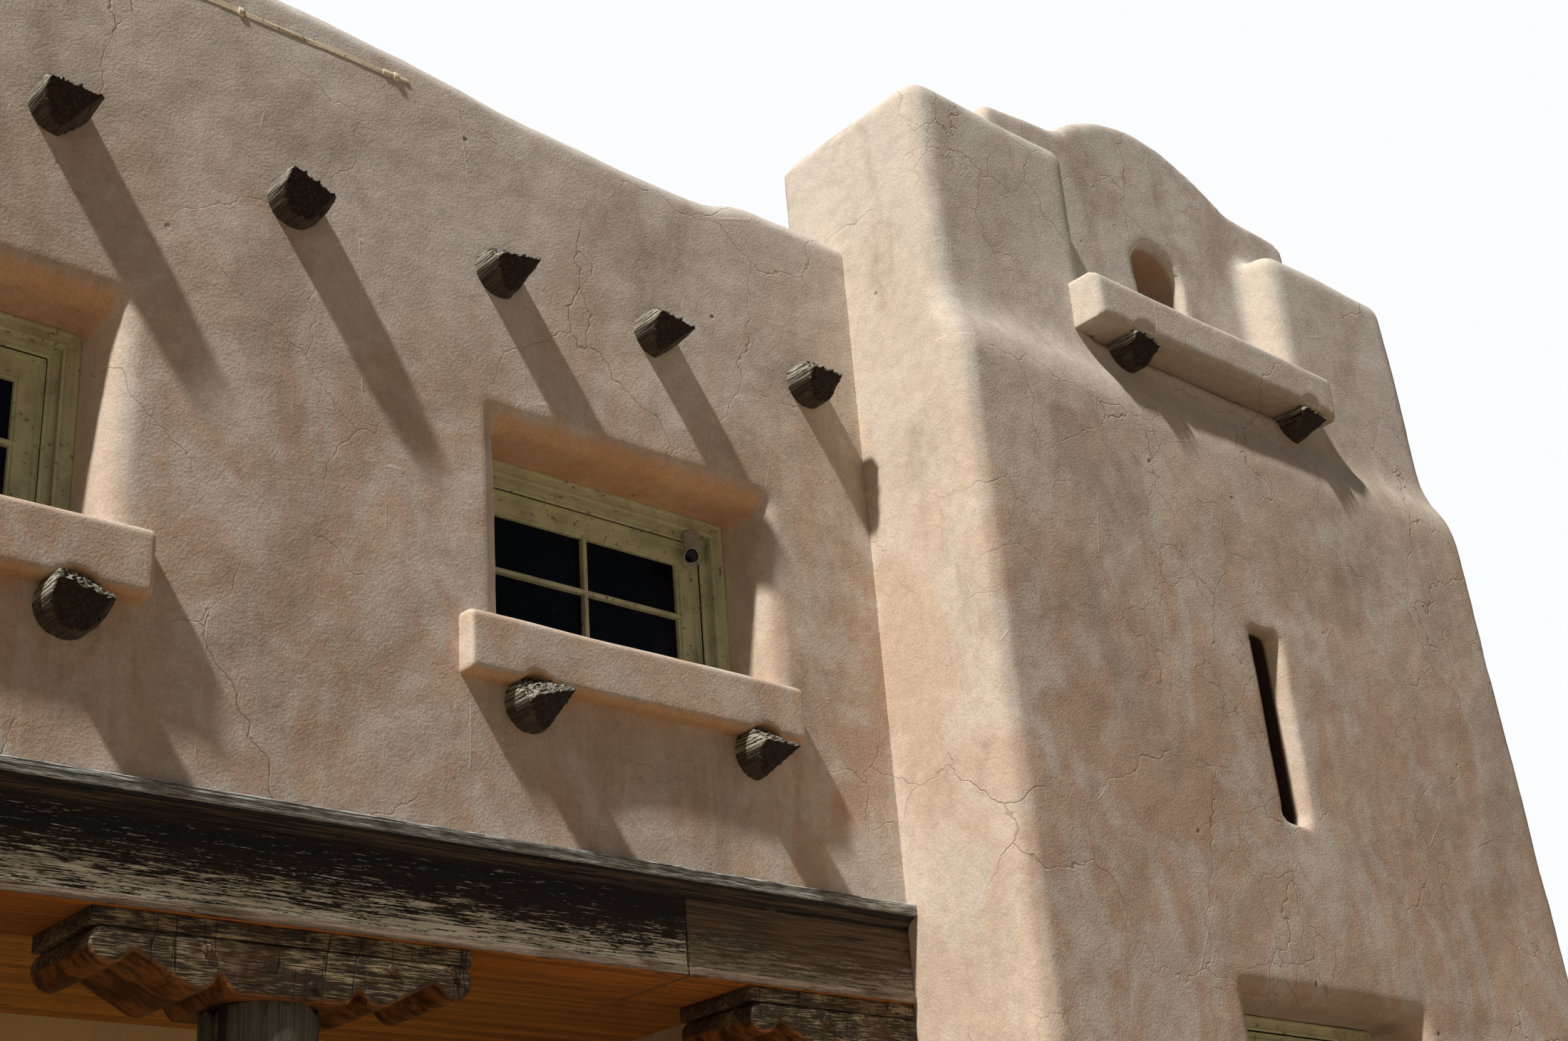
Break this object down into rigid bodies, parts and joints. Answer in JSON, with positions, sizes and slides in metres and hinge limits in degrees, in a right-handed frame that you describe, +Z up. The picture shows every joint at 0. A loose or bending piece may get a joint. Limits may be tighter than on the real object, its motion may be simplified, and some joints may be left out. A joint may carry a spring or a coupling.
{
  "type": "adobe house",
  "caption": "Plastered adobe house with a portal under the upper wall, stub logs, ledged windows and a battered tower with a domed gable.",
  "frame": {"origin": "ground level, under the middle of the free-standing portal post nearest the tower", "axes": "+X along the front towards the tower, +Y into the house, +Z up"},
  "size_m": [14.18, 7.97, 8.335],
  "materials": {
    "plaster": "sand-floated earth plaster, weathered",
    "portal_plaster": "smooth cream plaster",
    "floor_slab": "swept",
    "floor_boards": "plain boards",
    "ceiling_boards": "oiled boards",
    "roofing": "earth and gravel",
    "log_wood": "peeled logs, weathered dark",
    "beam_wood": "sawn timber, weathered dark",
    "carved_wood": "carved and adzed timber, worn",
    "frame_paint": "pale green oil paint on wood",
    "window_glass": "clear",
    "door_wood": "oiled planks",
    "fitting_paint": "painted to match the plaster"
  },
  "bodies": {
    "root": {"tower_front_wall": "plaster", "tower_left_wall": "plaster", "tower_left_pier": "plaster", "tower_right_pier": "plaster", "gable_wall": "plaster", "tower_ledge": "plaster", "front_wall": "plaster", "back_wall": "plaster", "left_wall": "plaster", "right_wall": "plaster", "end_pier": "plaster", "front_sills": "plaster", "tower_sill": "plaster", "back_sills": "plaster", "portal_wall": "portal_plaster", "ground_floor": "floor_slab", "upper_floor": "floor_boards", "portal_ceiling": "ceiling_boards", "roof_deck": "roofing", "roof_vigas": "log_wood", "ledge_vigas": "log_wood", "front_sill_vigas": "log_wood", "back_sill_vigas": "log_wood", "portal_posts": "log_wood", "portal_beam": "beam_wood", "beam_cap": "beam_wood", "zapatas": "carved_wood", "front_window_frames": "frame_paint", "front_sashes": "frame_paint", "tower_window_frame": "frame_paint", "tower_sash": "frame_paint", "back_window_frames": "frame_paint", "back_sashes": "frame_paint", "portal_window_frames": "frame_paint", "portal_sashes": "frame_paint", "door_frame": "frame_paint", "front_glass": "window_glass", "tower_glass": "window_glass", "back_glass": "window_glass", "portal_glass": "window_glass", "slit_pane": "window_glass", "front_door": "door_wood", "window_housing": "fitting_paint", "parapet_rod": "fitting_paint"}
  },
  "joints": []
}
